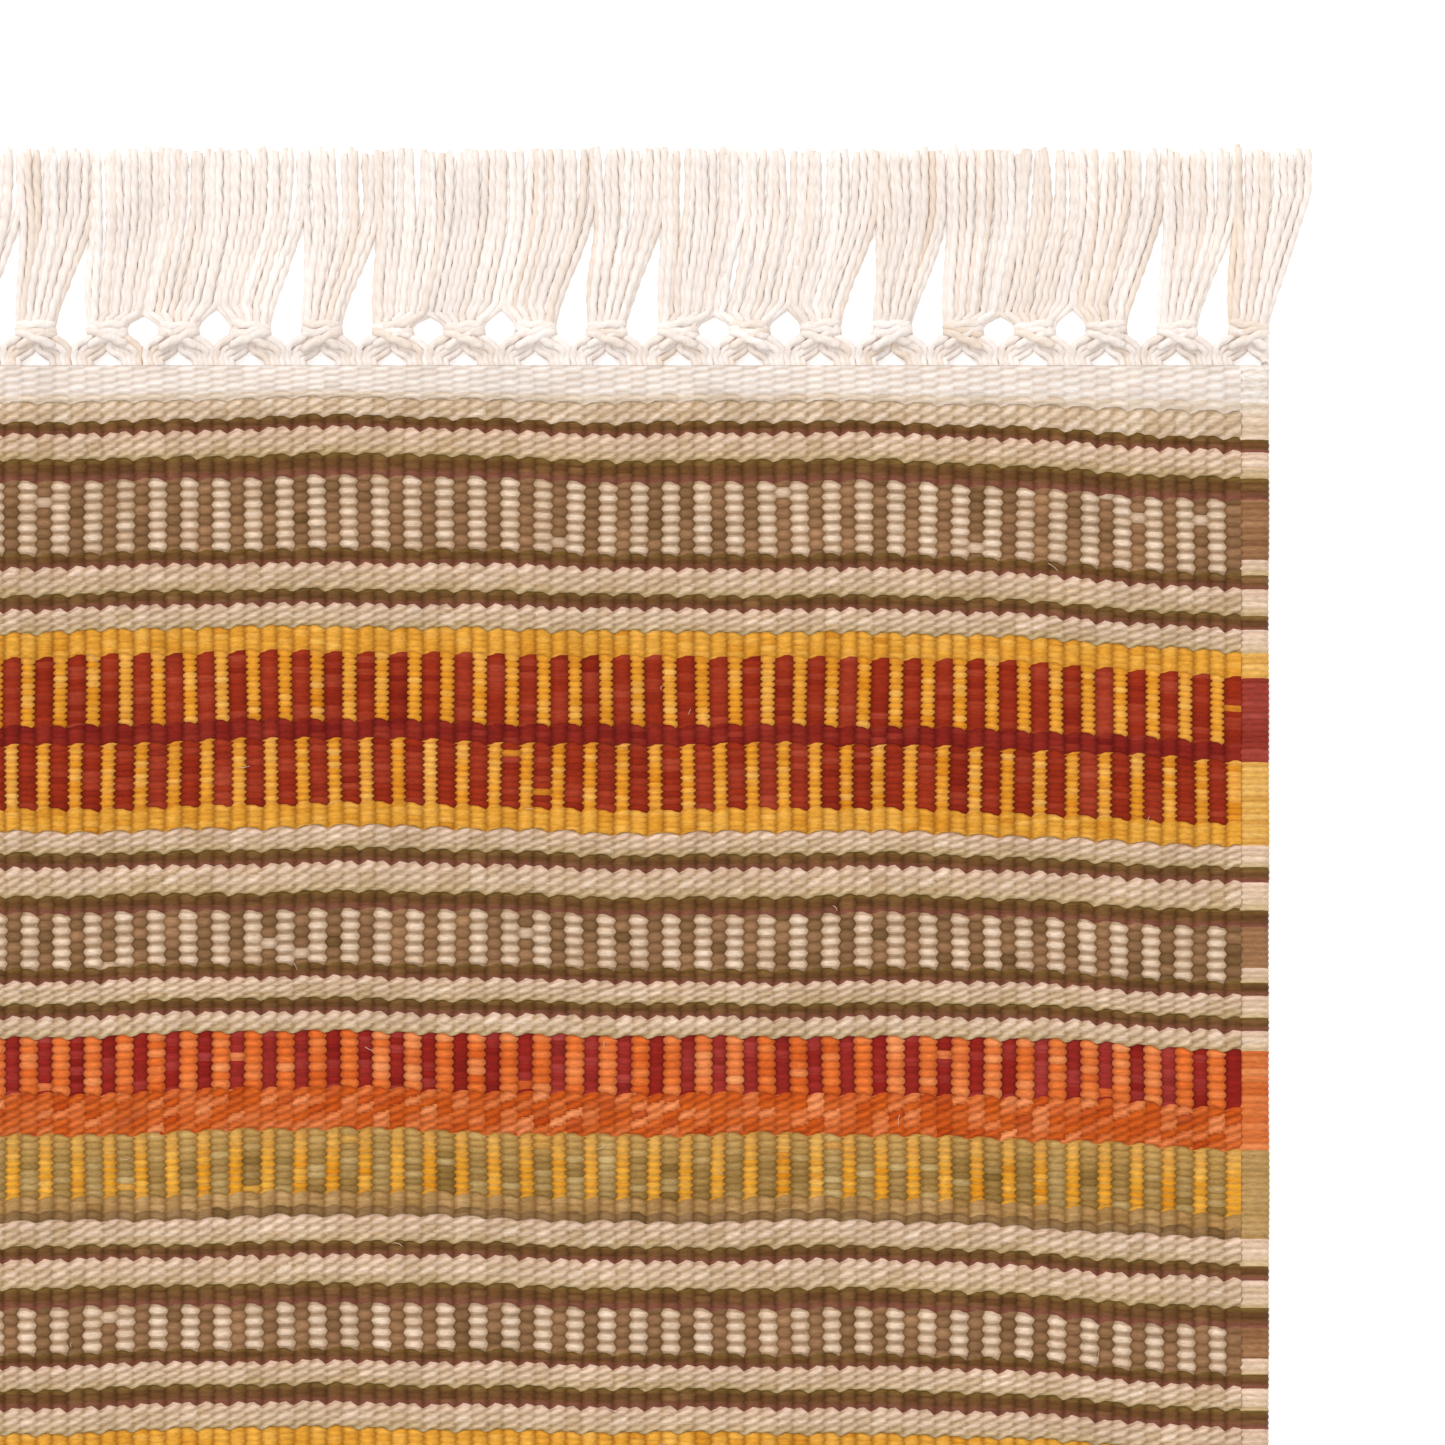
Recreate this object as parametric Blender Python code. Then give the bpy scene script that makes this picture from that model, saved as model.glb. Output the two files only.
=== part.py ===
"""A weft-faced runner rug with knotted fringes, laid flat, in metres with +Z up.

+X runs across the width and +Y along the length. The origin is on the floor under the rug's centre.
Cotton warps run the whole length. The wool wefts cover them in stripes, and each woven stripe is a
flat sleeve round the warps. The warps come out of both ends, are knotted in a row and hang loose as
tassels. The rug folds in half about a line across its middle, so everything that crosses this line
is made as a near half (-Y) and a far half (+Y).
"""

import bmesh
import bpy
from mathutils import Matrix

# Driving dimensions
WARP_PITCH = 0.0045
WARP_COUNT = 152
ROW_PITCH = 0.0033
THICKNESS = 0.005
SELVEDGE_WIDTH = 0.008
SELVEDGE_CORNER = 0.0015
CLEARANCE = 0.0003
FOLD_GAP = 0.003

# Rows of weft in each kind of stripe
HEADING_ROWS = 3
END_WOOL_ROWS = 20
WOOL_ROWS = 18
MUSTARD_ROWS = 17
OLIVE_ROWS = 15
COLOURED_STRIPES = 17

# Warps inside the weave
WARP_THICKNESS = 0.002
EDGE_WALL = 0.001

# Fringe
GROUPS = 7
TASSELS_PER_GROUP = 5
RAIL_LENGTH = 0.0012
LEG_LENGTH = 0.0052
HOLE_WIDTH = 0.0052
HOLE_LENGTH = 0.0026
JOINED_LENGTH = 0.0032
KNOT_LENGTH = 0.0084
KNOT_WIDTH = 0.008
KNOT_THICKNESS = 0.0048
NECK_LENGTH = 0.005
NECK_WIDTH = 0.0095
STRAND_LENGTH = 0.0460
YARN_THICKNESS = 0.0026
TIP_GAP = 0.0016
FRINGE_SHIFT = 0.0041
TIP_LEAN = 0.005

# Sizes that follow from them
WOVEN_WIDTH = WARP_PITCH * WARP_COUNT
BODY_WIDTH = WOVEN_WIDTH + 2 * SELVEDGE_WIDTH
TASSEL_PITCH = BODY_WIDTH / (GROUPS * TASSELS_PER_GROUP)
SLOT_WIDTH = WOVEN_WIDTH - 2 * CLEARANCE - 2 * EDGE_WALL
SLOT_THICKNESS = WARP_THICKNESS + 2 * CLEARANCE

# Colour, roughness
CREAM = ((0.80, 0.69, 0.60), 0.95)
WOOL = ((0.36, 0.24, 0.15), 0.95)
MUSTARD = ((0.55, 0.24, 0.05), 0.92)
OLIVE = ((0.50, 0.22, 0.07), 0.92)
EDGE = ((0.45, 0.30, 0.18), 0.95)


def clear_scene():
    for obj in list(bpy.data.objects):
        bpy.data.objects.remove(obj)


def make_material(name, look):
    colour, roughness = look
    material = bpy.data.materials.new(name)
    material.use_nodes = True
    shader = material.node_tree.nodes["Principled BSDF"]
    shader.inputs["Base Color"].default_value = (*colour, 1.0)
    shader.inputs["Roughness"].default_value = roughness
    shader.inputs["Metallic"].default_value = 0.0
    return material


def add_fold_axis():
    """The line that the near half turns about: above the fold line by half the gap between folded faces."""
    axis = bpy.data.objects.new("fold_axis", None)
    axis.location = (0, 0, THICKNESS + FOLD_GAP / 2)
    bpy.context.scene.collection.objects.link(axis)
    return axis


def hang_on(axis, obj):
    obj.parent = axis
    obj.matrix_parent_inverse = Matrix.Translation(-axis.location)


def add_object(name, mesh_data, look):
    """Turn a finished bmesh into an object of its own, with its faces pointing out."""
    bmesh.ops.recalc_face_normals(mesh_data, faces=mesh_data.faces)
    mesh = bpy.data.meshes.new(name)
    mesh_data.to_mesh(mesh)
    mesh_data.free()
    mesh.materials.append(make_material(name, look))
    obj = bpy.data.objects.new(name, mesh)
    bpy.context.scene.collection.objects.link(obj)
    return obj


def extrude_profile(faces, start, end):
    """Sweep a flat profile, given as faces of (x, z) points, along Y from start to end."""
    result = bmesh.new()
    corners = {}
    for face in faces:
        for x, z in face:
            if (x, z) not in corners:
                corners[x, z] = result.verts.new((x, start, z))
        result.faces.new([corners[point] for point in face])
    swept = bmesh.ops.extrude_face_region(result, geom=result.faces[:])
    moved = [item for item in swept["geom"] if isinstance(item, bmesh.types.BMVert)]
    bmesh.ops.translate(result, verts=moved, vec=(0, end - start, 0))
    return result


def sleeve_profile():
    """The section of a woven stripe: a flat rectangle with the warps' slot through it."""
    half = WOVEN_WIDTH / 2 - CLEARANCE
    slot_half = SLOT_WIDTH / 2
    slot_low = (THICKNESS - SLOT_THICKNESS) / 2
    slot_high = slot_low + SLOT_THICKNESS
    outer = [(-half, 0), (half, 0), (half, THICKNESS), (-half, THICKNESS)]
    inner = [
        (-slot_half, slot_low),
        (slot_half, slot_low),
        (slot_half, slot_high),
        (-slot_half, slot_high),
    ]
    faces = []
    for here in range(4):
        after = (here + 1) % 4
        faces.append([outer[here], outer[after], inner[after], inner[here]])
    return faces


def selvedge_profile(side):
    """The section of a selvedge: flat against the weave, with its outer corners cut off."""
    near = WOVEN_WIDTH / 2
    far = near + SELVEDGE_WIDTH
    shoulder = far - SELVEDGE_CORNER
    outline = [
        (near, 0),
        (shoulder, 0),
        (far, SELVEDGE_CORNER),
        (far, THICKNESS - SELVEDGE_CORNER),
        (shoulder, THICKNESS),
        (near, THICKNESS),
    ]
    return [[(side * x, z) for x, z in outline]]


def stripe_plan():
    """Name, look and row count of each stripe, from the near end of the rug to the far end."""
    kinds = [("wool", WOOL, END_WOOL_ROWS)]
    for index in range(COLOURED_STRIPES):
        if index % 2 == 0:
            kinds.append(("mustard", MUSTARD, MUSTARD_ROWS))
        else:
            kinds.append(("olive", OLIVE, OLIVE_ROWS))
        kinds.append(("wool", WOOL, WOOL_ROWS))
    kinds[-1] = kinds[0]
    bands = []
    for number, (kind, look, rows) in enumerate(kinds, 1):
        bands.append((f"{kind}_band_{number:02d}", look, rows))
    return [("heading_near", CREAM, HEADING_ROWS), *bands, ("heading_far", CREAM, HEADING_ROWS)]


def body_length(plan):
    return sum(rows for _, _, rows in plan) * ROW_PITCH


def build_stripes(plan, fold_axis):
    """Lay the stripes end to end, and part the one that lies on the fold line."""
    profile = sleeve_profile()
    start = -body_length(plan) / 2
    for name, look, rows in plan:
        end = start + rows * ROW_PITCH
        low = start + CLEARANCE / 2
        high = end - CLEARANCE / 2
        if start < 0 < end:
            near_piece = add_object(name + "_near", extrude_profile(profile, low, -CLEARANCE / 2), look)
            hang_on(fold_axis, near_piece)
            add_object(name + "_far", extrude_profile(profile, CLEARANCE / 2, high), look)
        else:
            stripe = add_object(name, extrude_profile(profile, low, high), look)
            if end <= 0:
                hang_on(fold_axis, stripe)
        start = end


def build_selvedges(length, fold_axis):
    inner = CLEARANCE / 2
    outer = (length - CLEARANCE) / 2
    for side, word in ((-1, "left"), (1, "right")):
        profile = selvedge_profile(side)
        add_object(f"selvedge_{word}_far", extrude_profile(profile, inner, outer), EDGE)
        near_piece = add_object(f"selvedge_{word}_near", extrude_profile(profile, -outer, -inner), EDGE)
        hang_on(fold_axis, near_piece)


class WarpPlate:
    """A flat plan of faces with a low and a high surface, closed into one solid.

    The plan is drawn for the far end, and direction -1 turns it half round for the near end.
    """

    def __init__(self, direction):
        self.direction = direction
        self.mesh = bmesh.new()
        self.corners = {}
        self.heights = {}

    def corner(self, x, y, low, high):
        key = (round(x, 7), round(y, 7))
        if key not in self.corners:
            vertex = self.mesh.verts.new((self.direction * x, self.direction * y, low))
            self.corners[key] = vertex
            self.heights[key] = high
        return self.corners[key]

    def face(self, points):
        self.mesh.faces.new([self.corner(*point) for point in points])

    def close(self):
        tops = {}
        for key, vertex in self.corners.items():
            tops[round(vertex.co.x, 6), round(vertex.co.y, 6)] = self.heights[key]
        swept = bmesh.ops.extrude_face_region(self.mesh, geom=self.mesh.faces[:])
        for item in swept["geom"]:
            if isinstance(item, bmesh.types.BMVert):
                item.co.z = tops[round(item.co.x, 6), round(item.co.y, 6)]
        return self.mesh


def tassel_faces(left, right, centre, exit_y):
    """Faces from the foot of one tassel to its tip: two legs round a hole, a knot and loose strands."""
    hole = HOLE_WIDTH / 2
    knot = KNOT_WIDTH / 2
    neck = NECK_WIDTH / 2
    tip = (TASSEL_PITCH - TIP_GAP) / 2
    rail_y = exit_y + RAIL_LENGTH
    hole_y = rail_y + HOLE_LENGTH
    joined_y = rail_y + JOINED_LENGTH
    knot_y = rail_y + LEG_LENGTH
    knot_end_y = knot_y + KNOT_LENGTH
    neck_y = knot_end_y + NECK_LENGTH
    tip_y = knot_end_y + STRAND_LENGTH
    yarn = (0, YARN_THICKNESS)
    thick = (0, KNOT_THICKNESS)
    foot_left = (left, rail_y, *yarn)
    foot_right = (right, rail_y, *yarn)
    hole_left = (centre - hole, rail_y, *yarn)
    hole_right = (centre + hole, rail_y, *yarn)
    hole_top = (centre, hole_y, *yarn)
    knot_low = [(centre - knot, knot_y, *thick), (centre + knot, knot_y, *thick)]
    knot_high = [(centre - knot, knot_end_y, *thick), (centre + knot, knot_end_y, *thick)]
    neck_row = [(centre - neck, neck_y, *yarn), (centre + neck, neck_y, *yarn)]
    tip_centre = centre + TIP_LEAN
    tip_row = [(tip_centre - tip, tip_y, *yarn), (tip_centre + tip, tip_y, *yarn)]
    return [
        [foot_left, hole_left, hole_top, knot_low[0], (left, joined_y, *yarn)],
        [hole_right, foot_right, (right, joined_y, *yarn), knot_low[1], hole_top],
        [knot_low[0], hole_top, knot_low[1], knot_high[1], knot_high[0]],
        [knot_high[0], knot_high[1], neck_row[1], neck_row[0]],
        [neck_row[0], neck_row[1], tip_row[1], tip_row[0]],
    ]


def warp_group(group, length, direction):
    """One group of warps: a flat ribbon inside the weave, then its legs, knots and tassels outside."""
    left = FRINGE_SHIFT - BODY_WIDTH / 2 + group * TASSELS_PER_GROUP * TASSEL_PITCH
    edges = [left + index * TASSEL_PITCH for index in range(TASSELS_PER_GROUP + 1)]
    centres = [edge + TASSEL_PITCH / 2 for edge in edges[:-1]]
    edges[0] += CLEARANCE / 2
    edges[-1] = min(edges[-1] - CLEARANCE / 2, BODY_WIDTH / 2)
    slot_half = SLOT_WIDTH / 2 - CLEARANCE
    ribbon_left = max(edges[0], -slot_half)
    ribbon_right = min(edges[-1], slot_half)
    ribbon = ((THICKNESS - WARP_THICKNESS) / 2, (THICKNESS + WARP_THICKNESS) / 2)
    exit_y = length / 2 + CLEARANCE
    row = sorted({*edges, ribbon_left, ribbon_right})
    plate = WarpPlate(direction)
    inside = [(x, exit_y, *ribbon) for x in row if ribbon_left <= x <= ribbon_right]
    plate.face([(ribbon_right, CLEARANCE / 2, *ribbon), (ribbon_left, CLEARANCE / 2, *ribbon), *inside])
    for left_edge, right_edge, centre in zip(edges, edges[1:], centres):
        foot = [(x, exit_y, *ribbon) for x in row if left_edge <= x <= right_edge]
        yarn = (0, YARN_THICKNESS)
        top = [right_edge, centre + HOLE_WIDTH / 2, centre - HOLE_WIDTH / 2, left_edge]
        plate.face([*foot, *((x, exit_y + RAIL_LENGTH, *yarn) for x in top)])
        for face in tassel_faces(left_edge, right_edge, centre, exit_y):
            plate.face(face)
    return plate.close()


def build_warps(length, fold_axis):
    for group in range(GROUPS):
        add_object(f"warps_far_{group + 1}", warp_group(group, length, 1), CREAM)
        near_piece = add_object(f"warps_near_{GROUPS - group}", warp_group(group, length, -1), CREAM)
        hang_on(fold_axis, near_piece)


def build_rug():
    clear_scene()
    fold_axis = add_fold_axis()
    plan = stripe_plan()
    length = body_length(plan)
    build_stripes(plan, fold_axis)
    build_selvedges(length, fold_axis)
    build_warps(length, fold_axis)


build_rug()
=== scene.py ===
import math

import bpy
import numpy as np
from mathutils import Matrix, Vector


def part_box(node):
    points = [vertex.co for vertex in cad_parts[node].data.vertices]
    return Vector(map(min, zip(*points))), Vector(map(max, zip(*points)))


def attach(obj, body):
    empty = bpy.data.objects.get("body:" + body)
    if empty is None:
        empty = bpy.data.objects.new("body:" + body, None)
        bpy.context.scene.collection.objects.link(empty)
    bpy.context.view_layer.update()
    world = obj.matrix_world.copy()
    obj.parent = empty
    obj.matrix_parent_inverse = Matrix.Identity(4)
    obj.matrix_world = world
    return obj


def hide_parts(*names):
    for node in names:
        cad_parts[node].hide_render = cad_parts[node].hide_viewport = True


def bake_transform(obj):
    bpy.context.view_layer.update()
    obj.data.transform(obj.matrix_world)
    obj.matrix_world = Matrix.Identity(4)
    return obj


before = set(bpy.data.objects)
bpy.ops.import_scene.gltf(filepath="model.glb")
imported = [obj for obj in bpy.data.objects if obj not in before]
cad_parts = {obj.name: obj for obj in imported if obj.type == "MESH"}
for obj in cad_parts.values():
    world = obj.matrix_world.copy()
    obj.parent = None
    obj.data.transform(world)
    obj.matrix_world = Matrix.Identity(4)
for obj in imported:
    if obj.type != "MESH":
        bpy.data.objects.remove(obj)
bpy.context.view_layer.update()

MM = 0.001
FAR, NEAR = "far_half", "near_half"

# ---------------------------------------------------------------- the rug's layout, from the frame
EDGE_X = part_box("selvedge_right_far")[1][0]
WEAVE_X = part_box("selvedge_right_far")[0][0]
# The CAD leaves twice this between one band and the next; the woven sheets close it.
HALF_BAND_GAP = 0.15 * MM
END_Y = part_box("heading_far")[1][1] + HALF_BAND_GAP
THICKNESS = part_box("heading_far")[1][2]
WARP_PITCH = 4.5 * MM
WARPS = round(2 * WEAVE_X / WARP_PITCH)
# Grid columns in one warp's width.
STEPS = 4
TASSELS = 35
TASSEL_PITCH = 2 * EDGE_X / TASSELS
FRINGE_SHIFT = 4.1 * MM
# The inner warps get extra points over this much on each side of the fold.
FOLD_ZONE = 6.5 * MM

# ---------------------------------------------------------------- yarn colours, in sRGB 0 to 255
# A palette is a yarn's main colour, its lighter one and its darker one.
CREAM = ((244, 233, 226), (250, 242, 236), (235, 217, 200))
HEADING_CREAM = ((242, 231, 223), (250, 241, 235), (226, 212, 202))
HEADING_BEIGE = ((230, 213, 194), (242, 228, 214), (214, 194, 170))
BEIGE = ((220, 192, 166), (240, 216, 194), (196, 166, 130))
END_BEIGE = ((224, 198, 172), (240, 220, 200), (202, 174, 142))
LIGHT_BEADS = ((226, 198, 172), (238, 214, 192), (206, 174, 144))
BROWN = ((144, 106, 74), (174, 132, 96), (106, 78, 42))
DARK = ((106, 70, 36), (134, 96, 58), (90, 56, 30))
MUSTARD = ((226, 160, 56), (236, 178, 84), (204, 130, 28))
MUSTARD_BEADS = ((228, 154, 46), (240, 184, 96), (208, 126, 16))
FADING_MUSTARD = ((226, 156, 40), (240, 184, 84), (208, 128, 12))
RUST = ((152, 44, 16), (176, 74, 50), (124, 24, 8))
DARK_RUST = ((136, 34, 22), (156, 54, 38), (110, 14, 14))
ORANGE = ((208, 94, 26), (248, 158, 104), (178, 60, 6))
ORANGE_BEADS = ((230, 116, 50), (244, 160, 104), (206, 82, 20))
RED = ((148, 32, 22), (176, 72, 66), (120, 18, 10))
OLIVE = ((166, 130, 72), (210, 184, 130), (124, 94, 42))
OLIVE_SOLID = ((178, 138, 86), (200, 162, 112), (148, 110, 56))
OLIVE_DARK = ((142, 108, 68), (164, 128, 90), (112, 82, 46))
EDGE_MUSTARD = ((224, 172, 86), (232, 184, 112), (200, 138, 56))
EDGE_RUST = ((152, 56, 44), (174, 78, 66), (130, 38, 26))
EDGE_BROWN = ((158, 114, 78), (182, 138, 102), (128, 86, 54))
EDGE_ORANGE = ((214, 116, 60), (232, 148, 92), (194, 88, 32))
EDGE_OLIVE = ((180, 144, 90), (198, 164, 114), (158, 120, 66))
# Single colours that the dye turns to at the sides of a stripe.
PINK = (230, 194, 176)
GREEN = (194, 168, 118)
MAROON = (138, 82, 68)
OLIVE_BROWN = (122, 96, 44)
FADED = (206, 162, 94)


# The studio light burns the white floor out, so each yarn is set this much darker than it should come out.
EXPOSURE = 0.86


def linear(colour):
    """An sRGB colour as linear light, with the exposure taken off."""
    value = np.asarray(colour, float) / 255
    return EXPOSURE * np.where(value <= 0.04045, value / 12.92, ((value + 0.055) / 1.055) ** 2.4)


# ---------------------------------------------------------------- the weave's stripes
class Stripe:
    """One woven stripe inside a band.

    weave is twill, heading, columns, line or solid. share is its part of the band's length, pitch the
    length of one ridge or stroke in mm, and samples the grid rows in it. first and second are the yarns of
    the even and odd warps, or the other way round with swap 1, and edge the yarn of the selvedge beside the
    stripe. depth is how deep the ridges are cut, and how much painted shade darkens their dips. widen is
    how far the first yarn's beads spread over the second's, in warp widths, and strays the share of the
    second's beads that the first yarn crosses.
    """

    def __init__(self, weave, share, pitch, samples, first, second=None, swap=0, edge=None,
                 depth=0.3, widen=0.0, strays=0.0):
        self.weave = weave
        self.share = share
        self.pitch = pitch * MM
        self.samples = samples
        self.first = first
        self.second = second or first
        self.swap = swap
        self.edge = edge or first
        self.depth = depth
        self.widen = widen
        self.strays = strays


def light(share, yarn=BEIGE):
    return Stripe("twill", share, 2.4, 4, yarn)


def dark(share):
    return Stripe("line", share, 2.1, 3, DARK, depth=0.2)


def ladder(share):
    return Stripe("columns", share, 3.2, 4, LIGHT_BEADS, BROWN, edge=EDGE_BROWN,
                  depth=0.5, widen=0.03, strays=0.018)


def wool_stripes(shares, top_yarn=BEIGE):
    """The nine stripes of a wool band, listed from its far side to its near one."""
    kinds = (light, dark, light, dark, ladder, dark, light, dark, light)
    stripes = [kind(share) for kind, share in zip(kinds, shares)]
    stripes[0] = light(shares[0], top_yarn)
    return stripes


WOOL_BAND = wool_stripes((21, 14, 27, 17, 55, 14, 22, 14, 19))
NARROW_WOOL_BAND = wool_stripes((26, 14, 28, 20, 46, 13, 23, 19, 25))
END_WOOL_BAND = wool_stripes((19, 12, 26, 22, 73, 14, 26, 14, 22), END_BEIGE)
MUSTARD_BAND = [
    Stripe("solid", 25, 1.8, 3, MUSTARD, edge=EDGE_MUSTARD, depth=0.2),
    Stripe("columns", 70, 1.8, 3, MUSTARD_BEADS, RUST, swap=0, edge=EDGE_RUST,
           depth=0.25, widen=-0.10, strays=0.004),
    Stripe("line", 19, 2.0, 3, DARK_RUST, edge=EDGE_RUST, depth=0.2),
    Stripe("columns", 66, 1.8, 3, MUSTARD_BEADS, RUST, swap=1, edge=EDGE_MUSTARD,
           depth=0.25, widen=-0.10, strays=0.004),
    Stripe("solid", 23, 1.8, 3, MUSTARD, edge=EDGE_MUSTARD, depth=0.2),
]
OLIVE_BAND = [
    Stripe("columns", 56, 2.1, 3, ORANGE_BEADS, RED, swap=0, edge=EDGE_ORANGE,
           depth=0.4, widen=0.04, strays=0.012),
    Stripe("twill", 40, 2.2, 4, ORANGE, edge=EDGE_ORANGE),
    Stripe("columns", 64, 2.0, 3, FADING_MUSTARD, OLIVE, swap=1, edge=EDGE_OLIVE,
           depth=0.35, widen=-0.07, strays=0.012),
    Stripe("solid", 15, 2.0, 3, OLIVE_SOLID, edge=EDGE_OLIVE),
    Stripe("line", 9, 2.0, 3, OLIVE_DARK, edge=EDGE_OLIVE, depth=0.2),
]
FAR_HEADING = [
    Stripe("heading", 4, 2.0, 4, HEADING_CREAM, depth=0.35),
    Stripe("heading", 1, 2.0, 4, HEADING_BEIGE, depth=0.35),
]
NEAR_HEADING = FAR_HEADING[::-1]


def stripes_of(name):
    """A band's stripes by its name; a wool band has the narrow ladder if the next band is an olive one."""
    if name.startswith("heading"):
        return FAR_HEADING if name.endswith("far") else NEAR_HEADING
    if name.startswith("mustard"):
        return MUSTARD_BAND
    if name.startswith("olive"):
        return OLIVE_BAND
    number = int(name[-2:])
    if number in (1, 35):
        return END_WOOL_BAND
    return WOOL_BAND if number % 4 == 1 else NARROW_WOOL_BAND


def smooth(value, low, high):
    """0 up to low, 1 from high on, and a smooth rise between them."""
    t = np.clip((value - low) / (high - low), 0, 1)
    return t * t * (3 - 2 * t)


# How far the bands lie past their planned places, in mm, and where along the rug from its end.
DRIFT, DRIFT_FULL_AT = 1.9, 70 * MM
EXTRA_DRIFT, EXTRA_DRIFT_AT, EXTRA_DRIFT_SPAN = 2.1, 191 * MM, 22 * MM
DRIFT_FADES_FROM, DRIFT_GONE_AT = 320 * MM, 700 * MM
# The weft lines' wave and droop, in mm, with their places across the rug.
WAVE, WAVE_CREST_X, WAVE_LENGTH = 0.9, 88 * MM, 190 * MM
DROOP, DROOP_FROM_X, DROOP_FULL_X = 5.9, 195 * MM, 350 * MM
SWELL_CREST, SWELL_LENGTH = 55 * MM, 230 * MM
STRAIGHT_END = 17 * MM


def drift(y):
    """Hand-beaten bands come out a little shorter or longer than planned."""
    inset = END_Y - np.abs(y)
    extra = EXTRA_DRIFT * np.exp(-((inset - EXTRA_DRIFT_AT) / EXTRA_DRIFT_SPAN) ** 2)
    shift = DRIFT * smooth(inset, 0, DRIFT_FULL_AT) + extra
    return MM * shift * np.sign(y) * (1 - smooth(inset, DRIFT_FADES_FROM, DRIFT_GONE_AT))


def bow(x, y):
    """How far the weft lines are drawn along the rug: a slow wave, and a droop towards both edges."""
    inset = END_Y - np.abs(y)
    swell = 0.85 + 0.17 * np.cos(2 * np.pi * (inset - SWELL_CREST) / SWELL_LENGTH)
    wave = WAVE * np.cos(2 * np.pi * (x - WAVE_CREST_X) / WAVE_LENGTH)
    droop = DROOP * smooth(np.abs(x), DROOP_FROM_X, DROOP_FULL_X) * swell
    return MM * (wave - droop) * smooth(inset, 0, STRAIGHT_END)


def wobble(x, y):
    """Small uneven waves of hand-beaten weft."""
    near_end = smooth(END_Y - np.abs(y), 0, 12 * MM)
    waves = 0.20 * np.sin(x / (8 * MM) + 3.1 * np.sin(y / (41 * MM)))
    waves = waves + 0.24 * np.sin(x / (19 * MM) + y / (17 * MM) + 1.3)
    return MM * waves * near_end


def lay(x, y):
    """Where a straight row's point at (x, y) comes to lie along the rug."""
    return y + drift(y) + bow(x, y) + wobble(x, y)


def sway(x, y):
    """Sideways wander of the warps."""
    waves = 0.30 * np.sin(y / (31 * MM) + 5 * np.sin(x / (57 * MM)))
    waves = waves + 0.22 * np.sin(y / (12 * MM) + x / (19 * MM))
    return MM * waves * smooth(WEAVE_X - np.abs(x), 0, 10 * MM)


# Each warp's beads reach over the border of a stripe by a tick, and by a long one from beige into dark.
TICK, LONG_TICK = 0.22 * MM, 0.5 * MM


class Rows:
    """The grid lines of one band along its length, from its near edge to its far edge.

    phase counts ridges from the stripe's near side, part runs from 0 to 1 across it, owner is its number.
    """

    def __init__(self, stripes, low, high):
        total = sum(stripe.share for stripe in stripes)
        self.stripes = stripes[::-1]
        self.y, self.phase, self.part, self.owner = [], [], [], []
        self.bounds = [low]
        self.ticks = [TICK]
        start = low
        for index, stripe in enumerate(self.stripes):
            length = (high - low) * stripe.share / total
            ridges = max(1, round(length / stripe.pitch))
            lines = ridges * stripe.samples
            for line in range(lines):
                self.y.append(start + length * line / lines)
                self.phase.append(line / stripe.samples)
                self.part.append(line / lines)
                self.owner.append(index)
            start += length
            self.bounds.append(start)
            beyond = self.stripes[index + 1].first if index + 1 < len(stripes) else None
            under_dark = stripe.first is BEIGE and beyond is DARK
            self.ticks.append(LONG_TICK if under_dark else TICK)
        self.y.append(high)
        self.phase.append(ridges)
        self.part.append(1.0)
        self.owner.append(len(self.stripes) - 1)
        self.y, self.phase, self.part = map(np.array, (self.y, self.phase, self.part))
        self.owner = np.array(self.owner)


# How far borders are scalloped from warp to warp, and how far from a border that still shows.
SCALLOP = 0.42 * MM
SCALLOP_REACH = 1.3 * MM
# Heights of the woven face between its beads and on top of them.
VALLEY, CREST = 3.6 * MM, THICKNESS
# The first number of each border's own random seed, so that the two bands that meet there agree.
BORDER_SEED = 5000


def place_rows(rows, u):
    """x and y of every grid point: straight rows, scalloped where one stripe ends and the next begins."""
    x = -WEAVE_X + u[None, :] * WARP_PITCH + 0 * rows.y[:, None]
    y = rows.y[:, None] + 0 * x
    for bound, tick in zip(rows.bounds, rows.ticks):
        reach = np.clip(1 - np.abs(rows.y - bound) / SCALLOP_REACH, 0, 1)
        reach = reach * smooth(END_Y - abs(bound), 4 * MM, 12 * MM)
        jog = np.random.default_rng(BORDER_SEED + round(bound / MM)).normal(0, 0.5, WARPS + 1)
        jog = np.repeat(jog, STEPS)[:len(u)]
        edge = SCALLOP * np.cos(np.pi * u) + tick * -np.cos(2 * np.pi * u) + TICK * jog
        y = y + reach[:, None] * edge[None, :]
    return x, lay(x, y)


def bead_phase(rows, u):
    """Where each grid point lies in its bead: across the warp and along it, each from -0.5 to 0.5."""
    warp = np.minimum(np.floor(u), WARPS - 1).astype(int)
    across = u - warp - 0.5
    along = (rows.phase[:, None] + 0.5 * (warp[None, :] % 2)) % 1 - 0.5
    return warp, across, along


# How far a stroke climbs across one warp, and how far it lies from its neighbour's, both in strokes.
SLOPE = {"twill": 0.72, "heading": 0.16}
STEP = {"twill": 1.0, "heading": 0.5}


def stroke_phase(stripe, steps, u):
    """Place across a slanted stroke, counted in strokes, with a step where one warp meets the next."""
    warp = np.minimum(np.floor(u), WARPS - 1)
    across = u - warp - 0.5
    return steps[:, None] - SLOPE[stripe.weave] * across[None, :] - STEP[stripe.weave] * warp[None, :]


HEADING_RELIEF, LINE_RELIEF, MOST_RELIEF = 0.78, 0.8, 1.06
RELIEF_NOISE = 0.05


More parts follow.
